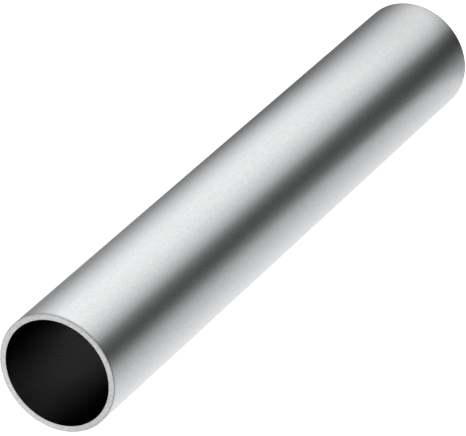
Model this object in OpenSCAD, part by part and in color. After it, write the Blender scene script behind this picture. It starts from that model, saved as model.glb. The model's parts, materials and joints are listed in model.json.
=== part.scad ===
// Round tube: one straight length of extruded metal stock, sawn square and deburred at both ends.
// The tube stands on its lower end. Its axis is Z, and the origin is the centre of that end.

/* [Section] */
// Outside diameter of the tube, in millimetres
outer_d = 40; // [10:0.5:120]
// Wall thickness, in millimetres
wall = 2; // [1:0.1:4]

/* [Length] */
// Length from one cut end to the other, in millimetres
length = 250; // [40:1:1000]

/* [Cut ends] */
// Rounding that deburring leaves on the outer edge of each end, in millimetres
outer_round = 0.3; // [0.1:0.05:0.5]
// Deburring chamfer on the bore's edge at each end, in millimetres
bore_chamfer = 0.1; // [0.05:0.05:0.45]

/* [Hidden] */
outer_r = outer_d / 2;
bore_r = outer_r - wall;
mill_finish = "#C8CBCE";
$fn = 180;

// The rounded edge has two equal facets, and this is where they meet, as a share of its size.
round_middle = 1 - cos(45);

// One cut end of the wall as [radius, height above the cut], from the bore round to the outside.
cut_end = [
    [bore_r, bore_chamfer],
    [bore_r + bore_chamfer, 0],
    [outer_r - outer_round, 0],
    [outer_r - round_middle * outer_round, round_middle * outer_round],
    [outer_r, outer_round]
];

// The same end turned over for the top, from the outside back to the bore.
top_end = [for (i = [len(cut_end) - 1 : -1 : 0]) [cut_end[i].x, length - cut_end[i].y]];

// Half section of the wall, to the right of the axis.
module wall_section() {
    polygon(concat(cut_end, top_end));
}

// The whole tube in one piece: its section turned about the axis.
module tube() {
    color(mill_finish) rotate_extrude() wall_section();
}

tube();
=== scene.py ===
"""Looks of a round tube: one straight length of mill-finish aluminium, standing on its lower cut end."""

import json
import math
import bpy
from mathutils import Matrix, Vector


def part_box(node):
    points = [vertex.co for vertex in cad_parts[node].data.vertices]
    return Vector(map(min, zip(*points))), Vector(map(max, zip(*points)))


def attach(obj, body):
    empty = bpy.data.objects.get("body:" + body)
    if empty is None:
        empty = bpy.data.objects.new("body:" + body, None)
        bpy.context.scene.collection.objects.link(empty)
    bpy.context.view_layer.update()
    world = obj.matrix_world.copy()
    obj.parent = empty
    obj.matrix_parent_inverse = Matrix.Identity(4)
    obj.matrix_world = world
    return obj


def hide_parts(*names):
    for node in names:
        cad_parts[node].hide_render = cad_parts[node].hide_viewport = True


bl_info = {
    "name": "Round tube",
    "version": (1, 0, 0),
    "blender": (4, 5, 0),
    "location": "3D View > Sidebar > Tube",
    "description": "Builds an extruded aluminium tube with saw-cut ends, and the studio that it stands in",
    "category": "Add Mesh",
}

import bpy
from bpy.props import FloatProperty, FloatVectorProperty, IntProperty, PointerProperty
from mathutils import Matrix, Vector

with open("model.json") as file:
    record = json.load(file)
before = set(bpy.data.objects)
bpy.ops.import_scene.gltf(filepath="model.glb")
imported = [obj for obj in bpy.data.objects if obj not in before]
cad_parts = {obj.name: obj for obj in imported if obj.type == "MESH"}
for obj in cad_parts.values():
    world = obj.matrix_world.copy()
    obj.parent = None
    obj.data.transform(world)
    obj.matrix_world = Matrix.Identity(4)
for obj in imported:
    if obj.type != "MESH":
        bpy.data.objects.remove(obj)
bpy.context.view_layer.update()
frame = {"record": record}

MM = 0.001
# Width and height in pixels of the picture that the camera is placed for.
IMAGE_SIZE = (466, 436)

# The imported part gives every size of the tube.
mounts = {mount["name"]: mount["dims"] for mount in frame["record"]["mounts"]}
tube_low, tube_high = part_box("tube")
TUBE_LENGTH = tube_high.z - tube_low.z
OUTER_R = mounts["outside"]["r_mm"] * MM
BORE_R = mounts["bore"]["r_mm"] * MM
OUTER_ROUND = (TUBE_LENGTH - mounts["outside"]["length_mm"] * MM) / 2
BORE_BREAK = (TUBE_LENGTH - mounts["bore"]["length_mm"] * MM) / 2

# Inputs of the tube's node tree: the name of the input, the size that sets it and the kind of socket.
TREE_INPUTS = (
    ("Outside Diameter", "outer_diameter", "NodeSocketFloat"),
    ("Wall", "wall", "NodeSocketFloat"),
    ("Length", "length", "NodeSocketFloat"),
    ("Outer Edge Rounding", "outer_round", "NodeSocketFloat"),
    ("Bore Edge Break", "bore_break", "NodeSocketFloat"),
    ("Segments", "segments", "NodeSocketInt"),
)


def linear(hex_colour):
    """Turn an sRGB hex colour into the linear values that Blender's sockets take."""
    shares = [int(hex_colour[i : i + 2], 16) / 255 for i in (1, 3, 5)]
    values = [s / 12.92 if s <= 0.04045 else ((s + 0.055) / 1.055) ** 2.4 for s in shares]
    return (*values, 1.0)


def darker(colour, share):
    """The same colour with this share of its light."""
    return (*(share * value for value in colour[:3]), 1.0)


WHITE = linear("#FFFFFF")


def add_node(tree, kind, inputs=None, stops=None, **settings):
    """Add a node, set its own settings, then set or link its inputs. A ramp also takes its colour stops."""
    node = tree.nodes.new(kind)
    for name, value in settings.items():
        setattr(node, name, value)
    for socket, value in (inputs or {}).items():
        if isinstance(value, bpy.types.NodeSocket):
            tree.links.new(value, node.inputs[socket])
        else:
            node.inputs[socket].default_value = value
    if stops:
        elements = node.color_ramp.elements
        while len(elements) < len(stops):
            elements.new(1.0)
        for element, (position, colour) in zip(elements, stops):
            element.position = position
            element.color = colour
    return node


class TubeSizes(bpy.types.PropertyGroup):
    """Sizes of the tube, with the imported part's own as defaults"""

    outer_diameter: FloatProperty(
        name="Outside diameter",
        description="Diameter over the outside of the wall",
        default=2 * OUTER_R,
        min=10 * MM,
        unit="LENGTH",
    )
    wall: FloatProperty(
        name="Wall",
        description="Thickness of the wall",
        default=OUTER_R - BORE_R,
        min=1 * MM,
        unit="LENGTH",
    )
    length: FloatProperty(
        name="Length",
        description="Length from one cut end to the other",
        default=TUBE_LENGTH,
        min=40 * MM,
        unit="LENGTH",
    )
    outer_round: FloatProperty(
        name="Outer edge rounding",
        description="Rounding that deburring leaves on the outer edge of both cut ends",
        default=OUTER_ROUND,
        min=0.05 * MM,
        unit="LENGTH",
    )
    bore_break: FloatProperty(
        name="Bore edge break",
        description="Deburring chamfer on the bore's edge at both cut ends",
        default=BORE_BREAK,
        min=0.05 * MM,
        unit="LENGTH",
    )
    segments: IntProperty(
        name="Segments",
        description="Faces round the tube",
        default=256,
        min=32,
    )


class TubeFinish(bpy.types.PropertyGroup):
    """Colours and gloss of the tube's surfaces"""

    wall_colour: FloatVectorProperty(
        name="Mill finish",
        description="Metal of the outside wall, as it left the die",
        default=linear("#FAFBFC"),
        size=4,
        subtype="COLOR",
    )
    wall_roughness: FloatProperty(
        name="Mill roughness",
        description="Blur of the reflections in the outside wall",
        default=0.3,
        min=0.0,
        max=1.0,
        subtype="FACTOR",
    )
    cut_colour: FloatVectorProperty(
        name="Saw cut",
        description="Bare metal of the cut ends",
        default=linear("#E3E3E4"),
        size=4,
        subtype="COLOR",
    )
    cut_roughness: FloatProperty(
        name="Saw cut roughness",
        description="Blur of the reflections in the cut ends",
        default=0.5,
        min=0.0,
        max=1.0,
        subtype="FACTOR",
    )
    # This colour is painted shade: it darkens the foot of the rounded edge into a thin line round each end.
    edge_shade_colour: FloatVectorProperty(
        name="Deburred edge",
        description="Metal at the foot of the rounded outer edge, darkened as painted shade",
        default=linear("#B4B5B9"),
        size=4,
        subtype="COLOR",
    )
    edge_roughness: FloatProperty(
        name="Deburred edge roughness",
        description="Blur of the reflections in the scraped edge",
        default=0.55,
        min=0.0,
        max=1.0,
        subtype="FACTOR",
    )
    bore_colour: FloatVectorProperty(
        name="Bore",
        description="Dull metal inside the bore",
        default=linear("#C7C7C7"),
        size=4,
        subtype="COLOR",
    )
    bore_roughness: FloatProperty(
        name="Bore roughness",
        description="Blur of the reflections in the bore",
        default=0.1,
        min=0.0,
        max=1.0,
        subtype="FACTOR",
    )


class TubeStudio(bpy.types.PropertyGroup):
    """Floor, light and camera"""

    floor_size: FloatProperty(
        name="Floor",
        description="Side of the square floor",
        default=9.0,
        unit="LENGTH",
    )
    floor_colour: FloatVectorProperty(
        name="Floor colour",
        description="Colour of the paper under the light",
        default=linear("#DADADA"),
        size=4,
        subtype="COLOR",
    )
    floor_glow: FloatProperty(
        name="Floor glow",
        description="Light that is added to the paper for the camera alone, so that it shows white",
        default=0.565,
        min=0.0,
    )
    ambient: FloatProperty(
        name="Surrounding light",
        description="Strength of the even light from all round",
        default=0.25,
        min=0.0,
    )
    key_power: FloatProperty(
        name="Key light",
        description="Power of the soft lamp on the camera's side",
        default=256.0,
        min=0.0,
        unit="POWER",
    )
    key_size: FloatProperty(
        name="Key light size",
        description="Diameter of the lamp, which softens the shadow",
        default=1.25,
        unit="LENGTH",
    )
    key_distance: FloatProperty(
        name="Key light distance",
        description="How far the lamp is from the middle of the tube",
        default=5.0,
        unit="LENGTH",
    )
    key_elevation: FloatProperty(
        name="Key light elevation",
        description="How steeply the lamp shines down",
        default=math.radians(52),
        subtype="ANGLE",
    )
    camera_lens: FloatProperty(
        name="Lens",
        description="Focal length, for a sensor 36 mm wide",
        default=354.0,
        subtype="DISTANCE_CAMERA",
    )
    camera_depth: FloatProperty(
        name="Camera depth",
        description="How far in front of the camera the upper end's centre lies",
        default=1392.5 * MM,
        unit="LENGTH",
    )
    camera_elevation: FloatProperty(
        name="Camera elevation",
        description="How steeply the camera looks down",
        default=math.radians(51.6),
        subtype="ANGLE",
    )
    camera_roll: FloatProperty(
        name="Camera roll",
        description="Turn of the picture that lays the upright tube across it",
        default=math.radians(131.67),
        subtype="ANGLE",
    )
    upper_end_pixel: FloatVectorProperty(
        name="Upper end in the picture",
        description="Pixel at which the centre of the upper end shows",
        default=(56.7, 373.4),
        size=2,
    )


def distance_from_axis(tree, place):
    """How far a place lies from the tube's axis."""
    across = add_node(tree, "ShaderNodeVectorMath", {0: place, 1: (1.0, 1.0, 0.0)}, operation="MULTIPLY")
    distance = add_node(tree, "ShaderNodeVectorMath", {0: across.outputs[0]}, operation="LENGTH")
    return distance.outputs["Value"]


def wall_section(tree, given):
    """Section of the wall: a rectangle with two facets at each outer corner and one at each bore corner."""
    outer_facets, bore_facets = 2, 1
    rectangle = add_node(
        tree,
        "GeometryNodeCurvePrimitiveQuadrilateral",
        {"Width": given["Wall"], "Height": given["Length"]},
    )
    corner = add_node(tree, "GeometryNodeInputPosition")
    corner_axes = add_node(tree, "ShaderNodeSeparateXYZ", {0: corner.outputs[0]})
    bore_corner = add_node(
        tree, "FunctionNodeCompare", {"A": corner_axes.outputs["X"], "B": 0.0}, operation="LESS_THAN"
    ).outputs[0]
    edge_break = add_node(
        tree,
        "GeometryNodeSwitch",
        {"Switch": bore_corner, "False": given["Outer Edge Rounding"], "True": given["Bore Edge Break"]},
        input_type="FLOAT",
    )
    facets = add_node(
        tree,
        "GeometryNodeSwitch",
        {"Switch": bore_corner, "False": outer_facets, "True": bore_facets},
        input_type="INT",
    )
    return add_node(
        tree,
        "GeometryNodeFilletCurve",
        {"Curve": rectangle.outputs[0], "Count": facets.outputs[0], "Radius": edge_break.outputs[0]},
        mode="POLY",
    ).outputs[0]


def swept_wall(tree, given, section, middle_radius):
    """The section carried once round the axis, and raised so that the tube stands on its lower end."""
    circle = add_node(
        tree,
        "GeometryNodeCurvePrimitiveCircle",
        {"Resolution": given["Segments"], "Radius": middle_radius},
    )
    path = add_node(tree, "GeometryNodeSetCurveNormal", {"Curve": circle.outputs[0]}, mode="Z_UP")
    swept = add_node(
        tree, "GeometryNodeCurveToMesh", {"Curve": path.outputs[0], "Profile Curve": section}
    )
    half_length = add_node(tree, "ShaderNodeMath", {0: given["Length"], 1: 0.5}, operation="MULTIPLY")
    lift = add_node(tree, "ShaderNodeCombineXYZ", {"Z": half_length.outputs[0]})
    return add_node(
        tree,
        "GeometryNodeTransform",
        {"Geometry": swept.outputs[0], "Translation": lift.outputs[0]},
    ).outputs[0]


def crisp_corners(tree, geometry):
    """Shading that is smooth round the tube, and crisp where the edge breaks start."""
    crisp_angle = math.radians(15)
    smooth = add_node(tree, "GeometryNodeSetShadeSmooth", {"Geometry": geometry}, domain="FACE")
    angle = add_node(tree, "GeometryNodeInputMeshEdgeAngle")
    corner = add_node(
        tree, "FunctionNodeCompare", {"A": angle.outputs[0], "B": crisp_angle}, operation="GREATER_THAN"
    )
    return add_node(
        tree,
        "GeometryNodeSetShadeSmooth",
        {"Geometry": smooth.outputs[0], "Selection": corner.outputs[0], "Shade Smooth": False},
        domain="EDGE",
    ).outputs[0]


def finish_faces(tree, middle_radius):
    """The faces of each finish, told by how far they look up or down and by their side of the wall."""
    upright_slope, level_slope = 0.3, 0.9
    normal = add_node(tree, "GeometryNodeInputNormal")
    normal_axes = add_node(tree, "ShaderNodeSeparateXYZ", {0: normal.outputs[0]})
    slope = add_node(tree, "ShaderNodeMath", {0: normal_axes.outputs["Z"]}, operation="ABSOLUTE").outputs[0]
    radius = distance_from_axis(tree, add_node(tree, "GeometryNodeInputPosition").outputs[0])
    inside = add_node(
        tree, "FunctionNodeCompare", {"A": radius, "B": middle_radius}, operation="LESS_THAN"
    ).outputs[0]
    cut = add_node(
        tree, "FunctionNodeCompare", {"A": slope, "B": upright_slope}, operation="GREATER_THAN"
    ).outputs[0]
    leaning = add_node(
        tree, "FunctionNodeCompare", {"A": slope, "B": level_slope}, operation="LESS_THAN"
    ).outputs[0]
    broken = add_node(tree, "FunctionNodeBooleanMath", {0: cut, 1: leaning}, operation="AND").outputs[0]
    # This operation is true where the first input is and the second is not.
    edge = add_node(tree, "FunctionNodeBooleanMath", {0: broken, 1: inside}, operation="NIMPLY").outputs[0]
    bore = add_node(tree, "FunctionNodeBooleanMath", {0: inside, 1: cut}, operation="NIMPLY").outputs[0]
    return {"wall": True, "cut": cut, "edge": edge, "bore": bore}


def tube_tree(finishes):
    """Geometry Nodes: the wall's section, with its edges broken, carried once round a circle."""
    tree = bpy.data.node_groups.new("Tube wall", "GeometryNodeTree")
    for name, _, kind in TREE_INPUTS:
        tree.interface.new_socket(name, in_out="INPUT", socket_type=kind)
    tree.interface.new_socket("Geometry", in_out="OUTPUT", socket_type="NodeSocketGeometry")
    given = add_node(tree, "NodeGroupInput").outputs
    middle_diameter = add_node(
        tree, "ShaderNodeMath", {0: given["Outside Diameter"], 1: given["Wall"]}, operation="SUBTRACT"
    )
    middle_radius = add_node(
        tree, "ShaderNodeMath", {0: middle_diameter.outputs[0], 1: 0.5}, operation="MULTIPLY"
    ).outputs[0]
    wall = swept_wall(tree, given, wall_section(tree, given), middle_radius)
    shaded = crisp_corners(tree, wall)
    geometry = add_node(tree, "GeometryNodeRealizeInstances", {"Geometry": shaded}).outputs[0]
    # Each finish goes over the ones before it.
    for finish, faces in finish_faces(tree, middle_radius).items():
        geometry = add_node(
            tree,
            "GeometryNodeSetMaterial",
            {"Geometry": geometry, "Selection": faces, "Material": finishes[finish]},
        ).outputs[0]
    add_node(tree, "NodeGroupOutput", {"Geometry": geometry})
    return tree


def mesh_from_tree(name, tree, values):
    """Run a tree with these input values, and return its result as an object with a plain mesh."""
    piece = bpy.data.objects.new(name, bpy.data.meshes.new(name))
    bpy.context.scene.collection.objects.link(piece)
    modifier = piece.modifiers.new("Tree", "NODES")
    modifier.node_group = tree
    for item in tree.interface.items_tree:
        if item.in_out == "INPUT":
            modifier[item.identifier] = values[item.name]
    evaluated = piece.evaluated_get(bpy.context.evaluated_depsgraph_get())
    mesh = bpy.data.meshes.new_from_object(evaluated)
    piece.modifiers.remove(modifier)
    piece.data = mesh
    mesh.name = name
    return piece


def new_metal(name):
    """A metal with its node tree and shader, and the coordinates that its patterns are laid out in."""
    material = bpy.data.materials.new(name)
    material.use_nodes = True
    tree = material.node_tree
    shader = tree.nodes["Principled BSDF"]
    shader.inputs["Metallic"].default_value = 1.0
    place = add_node(tree, "ShaderNodeTexCoord").outputs["Object"]
    return material, tree, shader, place


def painted_shade_beside_cuts(tree, place, sizes):
    """Share of its light that the wall keeps: painted shade darkens it for a short way beside each cut."""
    shade_width = 0.8 * MM
    shaded_share = 0.75
    half_length = sizes.length / 2
    edge_start = half_length - sizes.outer_round
    height = add_node(tree, "ShaderNodeSeparateXYZ", {0: place}).outputs["Z"]
    from_middle = add_node(tree, "ShaderNodeMath", {0: height, 1: half_length}, operation="SUBTRACT")
    reach = add_node(tree, "ShaderNodeMath", {0: from_middle.outputs[0]}, operation="ABSOLUTE")
    return add_node(
        tree,
        "ShaderNodeMapRange",
        {
            "Value": reach.outputs[0],
            "From Min": edge_start - shade_width,
            "From Max": edge_start,
            "To Min": 1.0,
            "To Max": shaded_share,
        },
    ).outputs[0]


def mill_finish_aluminium(finish, sizes):
    """Extruded aluminium as it leaves the die: pale satin metal with fine lines along its length."""
    material, tree, shader, place = new_metal("Aluminium, extruded, mill finish")
    # Die lines and specks are about 0.1 mm across. They are drawn coarser here, as they would not show.
    line_spacing = 0.7 * MM
    line_stretch = 0.012
    speck_size = 0.8 * MM
    speck_share = 0.77
    grain_depth = 0.012 * MM
    gloss_swing = 0.04
    along = add_node(
        tree, "ShaderNodeMapping", {"Vector": place, "Scale": (1.0, 1.0, line_stretch)}
    )
    lines = add_node(
        tree,
        "ShaderNodeTexNoise",
        {"Vector": along.outputs[0], "Scale": 1 / line_spacing, "Detail": 3.0, "Roughness": 0.6},
    )
    specks = add_node(
        tree, "ShaderNodeTexNoise", {"Vector": place, "Scale": 1 / speck_size, "Detail": 2.0}
    )
    grain = add_node(
        tree,
        "ShaderNodeMix",
        {"Factor": speck_share, "A": lines.outputs["Fac"], "B": specks.outputs["Fac"]},
        data_type="FLOAT",
    ).outputs[0]
    tint = add_node(
        tree,
        "ShaderNodeValToRGB",
        {"Fac": grain},
        stops=[(0.35, darker(finish.wall_colour, 0.91)), (0.6, tuple(finish.wall_colour))],
    )
    # Painted shade beside each cut draws a dark line under the rounded edge.
    shaded_beside_cuts = add_node(
        tree,
        "ShaderNodeVectorMath",
        {0: tint.outputs[0], 1: painted_shade_beside_cuts(tree, place, sizes)},
        operation="MULTIPLY",
    )
    gloss = add_node(
        tree,
        "ShaderNodeMapRange",
        {
            "Value": grain,
            "From Min": 0.3,
            "From Max": 0.7,
            "To Min": finish.wall_roughness + gloss_swing,
            "To Max": finish.wall_roughness - gloss_swing,
        },
    )
    bump = add_node(
        tree, "ShaderNodeBump", {"Height": grain, "Strength": 1.0, "Distance": grain_depth}
    )
    tree.links.new(shaded_beside_cuts.outputs[0], shader.inputs["Base Color"])
    tree.links.new(gloss.outputs[0], shader.inputs["Roughness"])
    tree.links.new(bump.outputs[0], shader.inputs["Normal"])
    return material


def painted_shade_at_rim(tree, place, sizes):
    """Share of its light that the cut keeps: painted shade darkens the last half millimetre before the
    edge.
    """
    rim_shade_start, rim_shade_end = 0.6 * MM, 0.1 * MM
    rim_shaded_share = 0.85
    outer_r = sizes.outer_diameter / 2
    return add_node(
        tree,
        "ShaderNodeMapRange",
        {
            "Value": distance_from_axis(tree, place),
            "From Min": outer_r - rim_shade_start,
            "From Max": outer_r - rim_shade_end,
            "To Min": 1.0,
            "To Max": rim_shaded_share,
        },
    ).outputs[0]


def saw_cut_aluminium(finish, sizes):
    """Bare aluminium across the saw cut: duller than the wall, mottled by short scratches and by broad
    lighter and darker patches.
    """
    material, tree, shader, place = new_metal("Aluminium, saw-cut")
    # A blade's scratches are about 0.1 mm apart. They are drawn coarser here, as they would not show.
    scratch_spacing = 0.5 * MM
    scratch_stretch = 0.5
    scratch_depth = 0.02 * MM
    patch_size = 15 * MM
    patch_share = 0.29
    # Which slice of the noise is used: it decides where the lighter and darker patches lie.
    patch_slice = 1472 * MM
    across = add_node(
        tree, "ShaderNodeMapping", {"Vector": place, "Scale": (scratch_stretch, 1.0, 1.0)}
    )
    scratches = add_node(
        tree,
        "ShaderNodeTexNoise",
        {"Vector": across.outputs[0], "Scale": 1 / scratch_spacing, "Detail": 3.0},
    ).outputs["Fac"]
    slice_place = add_node(
        tree, "ShaderNodeMapping", {"Vector": place, "Location": (0.0, 0.0, patch_slice)}
    )
    broad_patches = add_node(
        tree,
        "ShaderNodeTexNoise",
        {"Vector": slice_place.outputs[0], "Scale": 1 / patch_size, "Detail": 1.0},
    )
    mottle = add_node(
        tree,
        "ShaderNodeMix",
        {"Factor": patch_share, "A": scratches, "B": broad_patches.outputs["Fac"]},
        data_type="FLOAT",
    )
    tint = add_node(
        tree,
        "ShaderNodeValToRGB",
        {"Fac": mottle.outputs[0]},
        stops=[(0.36, darker(finish.cut_colour, 0.66)), (0.64, tuple(finish.cut_colour))],
    )
    # Painted shade darkens the cut at its outer rim.
    shaded_at_rim = add_node(
        tree,
        "ShaderNodeVectorMath",
        {0: tint.outputs[0], 1: painted_shade_at_rim(tree, place, sizes)},
        operation="MULTIPLY",
    )
    bump = add_node(
        tree, "ShaderNodeBump", {"Height": scratches, "Strength": 1.0, "Distance": scratch_depth}
    )
    tree.links.new(shaded_at_rim.outputs[0], shader.inputs["Base Color"])
    tree.links.new(bump.outputs[0], shader.inputs["Normal"])
    shader.inputs["Roughness"].default_value = finish.cut_roughness
    return material


def painted_shade_edge_aluminium(finish):
    """The foot of the rounded edge, darkened with painted shade, so that it draws a thin darker line round
    the end.
    """
    material, tree, shader, place = new_metal("Aluminium, edge with painted shade")
    # The tool's nicks are about 0.1 mm long. They are drawn coarser here, as they would not show.
    nick_size = 0.6 * MM
    nicks = add_node(tree, "ShaderNodeTexNoise", {"Vector": place, "Scale": 1 / nick_size, "Detail": 2.0})
    tint = add_node(
        tree,
        "ShaderNodeValToRGB",
        {"Fac": nicks.outputs["Fac"]},
        stops=[(0.3, darker(finish.edge_shade_colour, 0.75)), (0.7, tuple(finish.edge_shade_colour))],
    )
    tree.links.new(tint.outputs[0], shader.inputs["Base Color"])
    shader.inputs["Roughness"].default_value = finish.edge_roughness
    return material


def extruded_bore_aluminium(finish):
    """The bore, never polished: duller, darker metal, so light dies out in it after a few reflections."""
    material, tree, shader, place = new_metal("Aluminium, extruded bore")
    # Its die lines are drawn coarser than they are, as they would not show in the dark.
    line_spacing = 1.5 * MM
    line_stretch = 0.01
    along = add_node(
        tree, "ShaderNodeMapping", {"Vector": place, "Scale": (1.0, 1.0, line_stretch)}
    )
    lines = add_node(
        tree,
        "ShaderNodeTexNoise",
        {"Vector": along.outputs[0], "Scale": 1 / line_spacing, "Detail": 3.0},
    )
    tint = add_node(
        tree,
        "ShaderNodeValToRGB",
        {"Fac": lines.outputs["Fac"]},
        stops=[(0.3, darker(finish.bore_colour, 0.9)), (0.7, tuple(finish.bore_colour))],
    )
    tree.links.new(tint.outputs[0], shader.inputs["Base Color"])
    shader.inputs["Roughness"].default_value = finish.bore_roughness
    return material


class OBJECT_OT_build_round_tube(bpy.types.Operator):
    """Build the tube from its sizes and finishes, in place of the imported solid"""

    bl_idname = "object.build_round_tube"
    bl_label = "Build round tube"

    def execute(self, context):
        sizes, finish = context.scene.tube_sizes, context.scene.tube_finish
        tree = tube_tree(
            {
                "wall": mill_finish_aluminium(finish, sizes),
                "cut": saw_cut_aluminium(finish, sizes),
                "edge": painted_shade_edge_aluminium(finish),
                "bore": extruded_bore_aluminium(finish),
            }
        )
        values = {name: getattr(sizes, size) for name, size, _ in TREE_INPUTS}
        piece = mesh_from_tree("round_tube", tree, values)
        if not piece.data.polygons:
            raise RuntimeError("the tube's tree made no faces")
        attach(piece, "root")
        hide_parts("tube")
        return {"FINISHED"}


def ray_kinds(tree):
    """Tell two kinds of ray: from the camera, straight or through glass, and from a reflection."""
    path = add_node(tree, "ShaderNodeLightPath").outputs
    looked_at = add_node(
        tree,
        "ShaderNodeMath",
        {0: path["Is Camera Ray"], 1: path["Is Transmission Ray"]},
        operation="MAXIMUM",
    )
    return looked_at.outputs[0], path["Is Glossy Ray"]


def white_paper(tree, looked_at, studio):
    """Matt paper that takes the tube's shadow, with a glow for the camera that makes it show white."""
    paper = add_node(tree, "ShaderNodeBsdfDiffuse", {"Color": tuple(studio.floor_colour)})
    strength = add_node(tree, "ShaderNodeMath", {0: looked_at, 1: studio.floor_glow}, operation="MULTIPLY")
    glow = add_node(tree, "ShaderNodeEmission", {"Strength": strength.outputs[0]})
    return add_node(tree, "ShaderNodeAddShader", {0: paper.outputs[0], 1: glow.outputs[0]}).outputs[0]


def painted_shade_by_foot(tree, place):
    """Clear, but for two soft patches of painted shade beside the foot, seen only in reflections, that
    deepen the wall's dark bands towards it.
    """
    # Each patch of painted shade has its centre, its turn in degrees, its half size and the grey of its
    # middle.
    shade_patches = (
        ((42 * MM, 67 * MM, 0.0), 0, (76 * MM, 118 * MM, 1.0), "#676767"),
        ((-53 * MM, -47 * MM, 0.0), 33, (130 * MM, 15 * MM, 1.0), "#898989"),
    )
    tint = WHITE
    for centre, degrees, half_size, grey in shade_patches:
        turn = (0.0, 0.0, math.radians(degrees))
        patch_place = add_node(
            tree,
            "ShaderNodeMapping",
            {"Vector": place, "Location": centre, "Rotation": turn, "Scale": half_size},
            vector_type="TEXTURE",
        )
        depth = add_node(
            tree, "ShaderNodeTexGradient", {"Vector": patch_place.outputs[0]}, gradient_type="SPHERICAL"
        )
        shade = add_node(
            tree,
            "ShaderNodeValToRGB",
            {"Fac": depth.outputs["Fac"]},
            stops=[(0.0, WHITE), (1.0, linear(grey))],
        )
        tint = add_node(
            tree,
            "ShaderNodeMix",
            {"Factor": 1.0, "A": tint, "B": shade.outputs[0]},
            data_type="RGBA",
            blend_type="MULTIPLY",
        ).outputs[2]
    return add_node(tree, "ShaderNodeBsdfTransparent", {"Color": tint}).outputs[0]


def painted_glow_in_bore(tree, radius):
    """Painted light: a glow, white with a soft rim, as at the open end of a tube that lies on white paper.
    """
    white_radius = 0.4 * BORE_R
    rim_strength = 0.1
    fade = add_node(
        tree,
        "ShaderNodeMapRange",
        {
            "Value": radius,
            "From Min": white_radius,
            "From Max": BORE_R,
            "To Min": 1.0,
            "To Max": rim_strength,
        },
    )
    return add_node(tree, "ShaderNodeEmission", {"Strength": fade.outputs[0]}).outputs[0]


def floor_paper(studio):
    """The floor's material: white paper to the camera, and mostly clear to reflections."""
    material = bpy.data.materials.new("Paper floor, matt white")
    material.use_nodes = True
    material.cycles.emission_sampling = "NONE"
    tree = material.node_tree
    tree.nodes.clear()
    looked_at, mirrored = ray_kinds(tree)
    place = add_node(tree, "ShaderNodeTexCoord").outputs["Object"]
    radius = distance_from_axis(tree, place)
    in_bore = add_node(tree, "ShaderNodeMath", {0: radius, 1: BORE_R}, operation="LESS_THAN")
    # Reflections see through the floor to the graded surroundings, which are then the same from the tube's
    # foot to its top, but for painted shade beside the foot. Only inside the bore do they meet white: a
    # painted glow.
    reflection = add_node(
        tree,
        "ShaderNodeMixShader",
        {0: in_bore.outputs[0], 1: painted_shade_by_foot(tree, place), 2: painted_glow_in_bore(tree, radius)},
    )
    surface = add_node(
        tree,
        "ShaderNodeMixShader",
        {0: mirrored, 1: white_paper(tree, looked_at, studio), 2: reflection.outputs[0]},
    )
    add_node(tree, "ShaderNodeOutputMaterial", {"Surface": surface.outputs[0]})
    return material


def lay_floor(studio):
    """A plain square floor, level with the tube's lower end."""
    reach = studio.floor_size / 2
    corners = [(-reach, -reach, 0.0), (reach, -reach, 0.0), (reach, reach, 0.0), (-reach, reach, 0.0)]
    mesh = bpy.data.meshes.new("floor")
    mesh.from_pydata(corners, [], [(0, 1, 2, 3)])
    mesh.materials.append(floor_paper(studio))
    floor = bpy.data.objects.new("floor", mesh)
    bpy.context.scene.collection.objects.link(floor)


def greys_round_about(tree, direction):
    """The surroundings near the horizon: light and dark by turns."""
    # Each grey has its azimuth in degrees, from the camera's side and positive to the camera's left.
    greys = (
        (180, "#C4C5C6"),
        (160, "#F4F5F6"),
        (144, "#EFF0F1"),
        (106, "#D9DADB"),
        (74, "#BABBBC"),
        (55, "#7F8180"),
        (43, "#383A39"),
        (28, "#363837"),
        (11, "#646665"),
        (0, "#B9BABB"),
        (-11, "#D0D1D2"),
        (-28, "#EEEFEF"),
        (-42, "#F9F9F9"),
        (-76, "#FDFDFD"),
        (-97, "#D9DADB"),
        (-128, "#8E9091"),
        (-148, "#767879"),
        (-164, "#8A8C8D"),
        (-180, "#C4C5C6"),
    )
    turned = add_node(
        tree, "ShaderNodeMapping", {"Vector": direction, "Rotation": (0.0, 0.0, math.pi / 2)}
    )
    azimuth = add_node(tree, "ShaderNodeTexGradient", {"Vector": turned.outputs[0]}, gradient_type="RADIAL")
    return add_node(
        tree,
        "ShaderNodeValToRGB",
        {"Fac": azimuth.outputs["Fac"]},
        stops=[(0.5 - degrees / 360, linear(grey)) for degrees, grey in greys],
    ).outputs[0]


def graded_surroundings(tree):
    """What the metal reflects: white all round, with the unlit room behind the camera as a dark band."""
    # Heights are those of a unit vector: 1 is straight up and -1 straight down.
    overhead_height = 0.35
    underfoot_height = -0.73
    underfoot_strength = 0.65
    direction = add_node(tree, "ShaderNodeTexCoord").outputs["Generated"]
    axes = add_node(tree, "ShaderNodeSeparateXYZ", {0: direction}).outputs

    # Overhead it is grey on the camera's side and white on the other.
    behind = add_node(tree, "ShaderNodeMapRange", {"Value": axes["Y"], "From Min": -1.0, "From Max": 1.0})
    overhead = add_node(
        tree,
        "ShaderNodeValToRGB",
        {"Fac": behind.outputs[0]},
        stops=[(0.1, linear("#AAABAB")), (0.5, linear("#FDFDFD"))],
    )
    rise = add_node(
        tree, "ShaderNodeMapRange", {"Value": axes["Z"], "From Min": 0.0, "From Max": overhead_height}
    )
    colour = add_node(
        tree,
        "ShaderNodeMix",
        {"Factor": rise.outputs[0], "A": greys_round_about(tree, direction), "B": overhead.outputs[0]},
        data_type="RGBA",
    )
    # Straight down it is darker, as the floor is close under an object.
    strength = add_node(
        tree,
        "ShaderNodeMapRange",
        {
            "Value": axes["Z"],
            "From Min": -1.0,
            "From Max": underfoot_height,
            "To Min": underfoot_strength,
            "To Max": 1.0,
        },
    )
    return add_node(
        tree, "ShaderNodeBackground", {"Color": colour.outputs[2], "Strength": strength.outputs[0]}
    ).outputs[0]


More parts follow.
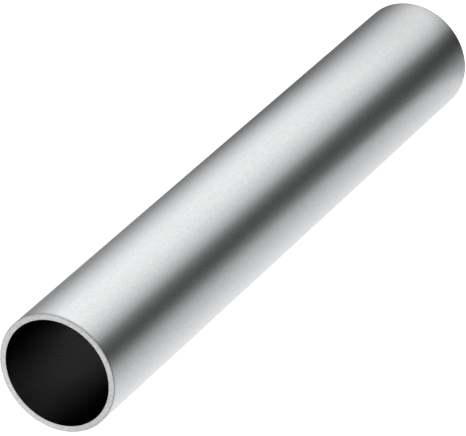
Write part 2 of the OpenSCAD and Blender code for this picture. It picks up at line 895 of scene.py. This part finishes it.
def surround_with_light(studio):
    """A world that shows white and lights evenly, and that metal mirrors as the graded surroundings."""
    world = bpy.data.worlds.new("Studio")
    bpy.context.scene.world = world
    world.use_nodes = True
    world.cycles.sampling_method = "NONE"
    tree = world.node_tree
    tree.nodes.clear()
    looked_at, mirrored = ray_kinds(tree)
    even = add_node(tree, "ShaderNodeBackground", {"Color": WHITE, "Strength": studio.ambient})
    white = add_node(tree, "ShaderNodeBackground", {"Color": WHITE, "Strength": 1.0})
    lit = add_node(
        tree, "ShaderNodeMixShader", {0: mirrored, 1: even.outputs[0], 2: graded_surroundings(tree)}
    )
    shown = add_node(
        tree, "ShaderNodeMixShader", {0: looked_at, 1: lit.outputs[0], 2: white.outputs[0]}
    )
    add_node(tree, "ShaderNodeOutputWorld", {"Surface": shown.outputs[0]})


def hang_key_light(studio):
    """One soft lamp on the camera's side, so that the shadow falls behind the tube."""
    lamp = bpy.data.lights.new("Key light", "AREA")
    lamp.shape = "DISK"
    lamp.size = studio.key_size
    lamp.energy = studio.key_power
    key = bpy.data.objects.new("Key light", lamp)
    bpy.context.scene.collection.objects.link(key)
    # Metal mirrors the graded surroundings alone, so the lamp leaves no glint on it.
    key.visible_glossy = False
    towards = Vector((0.0, -math.cos(studio.key_elevation), math.sin(studio.key_elevation)))
    key.location = studio.key_distance * towards + Vector((0.0, 0.0, TUBE_LENGTH / 2))
    key.rotation_euler = towards.to_track_quat("Z", "Y").to_euler()


def place_camera(studio):
    """The photograph's view: down on the upper end, turned so that the tube runs to the upper right."""
    camera_data = bpy.data.cameras.new("Camera")
    camera_data.lens = studio.camera_lens
    camera_data.sensor_width = 36.0
    camera = bpy.data.objects.new("Camera", camera_data)
    bpy.context.scene.collection.objects.link(camera)
    bpy.context.scene.camera = camera

    tilt, roll = studio.camera_elevation, studio.camera_roll
    forward = Vector((0.0, math.cos(tilt), -math.sin(tilt)))
    level_right = Vector((1.0, 0.0, 0.0))
    level_down = forward.cross(level_right)
    right = math.cos(roll) * level_right + math.sin(roll) * level_down
    down = math.cos(roll) * level_down - math.sin(roll) * level_right
    width, height = IMAGE_SIZE
    pixels_per_unit = camera_data.lens / camera_data.sensor_width * width
    across = (studio.upper_end_pixel[0] - width / 2) / pixels_per_unit
    below = (studio.upper_end_pixel[1] - height / 2) / pixels_per_unit
    upper_end = Vector((0.0, 0.0, TUBE_LENGTH))
    place = upper_end - studio.camera_depth * (forward + across * right + below * down)
    turn = Matrix((right, -down, -forward)).transposed()
    camera.matrix_world = Matrix.Translation(place) @ turn.to_4x4()


class SCENE_OT_build_tube_studio(bpy.types.Operator):
    """Lay the floor, set the lights and place the camera"""

    bl_idname = "scene.build_tube_studio"
    bl_label = "Build studio"

    def execute(self, context):
        scene = context.scene
        studio = scene.tube_studio
        lay_floor(studio)
        surround_with_light(studio)
        hang_key_light(studio)
        place_camera(studio)
        scene.view_settings.view_transform = "Standard"
        # Light leaves the bore after many reflections.
        scene.cycles.glossy_bounces = 12
        return {"FINISHED"}


class VIEW3D_PT_round_tube(bpy.types.Panel):
    """Sizes, finishes and studio of the tube"""

    bl_idname = "VIEW3D_PT_round_tube"
    bl_label = "Round tube"
    bl_space_type = "VIEW_3D"
    bl_region_type = "UI"
    bl_category = "Tube"

    def draw(self, context):
        scene = context.scene
        for group in (scene.tube_sizes, scene.tube_finish, scene.tube_studio):
            box = self.layout.box()
            for name in group.bl_rna.properties.keys():
                if name not in ("rna_type", "name"):
                    box.prop(group, name)
        for operator in OPERATORS:
            self.layout.operator(operator.bl_idname)


OPERATORS = (OBJECT_OT_build_round_tube, SCENE_OT_build_tube_studio)
CLASSES = (TubeSizes, TubeFinish, TubeStudio, *OPERATORS, VIEW3D_PT_round_tube)


def register():
    for cls in CLASSES:
        bpy.utils.register_class(cls)
    bpy.types.Scene.tube_sizes = PointerProperty(type=TubeSizes)
    bpy.types.Scene.tube_finish = PointerProperty(type=TubeFinish)
    bpy.types.Scene.tube_studio = PointerProperty(type=TubeStudio)


def unregister():
    del bpy.types.Scene.tube_studio
    del bpy.types.Scene.tube_finish
    del bpy.types.Scene.tube_sizes
    for cls in reversed(CLASSES):
        bpy.utils.unregister_class(cls)


def main():
    """Build the tube and its studio."""
    register()
    bpy.ops.object.build_round_tube()
    bpy.ops.scene.build_tube_studio()


if __name__ == "__main__":
    main()
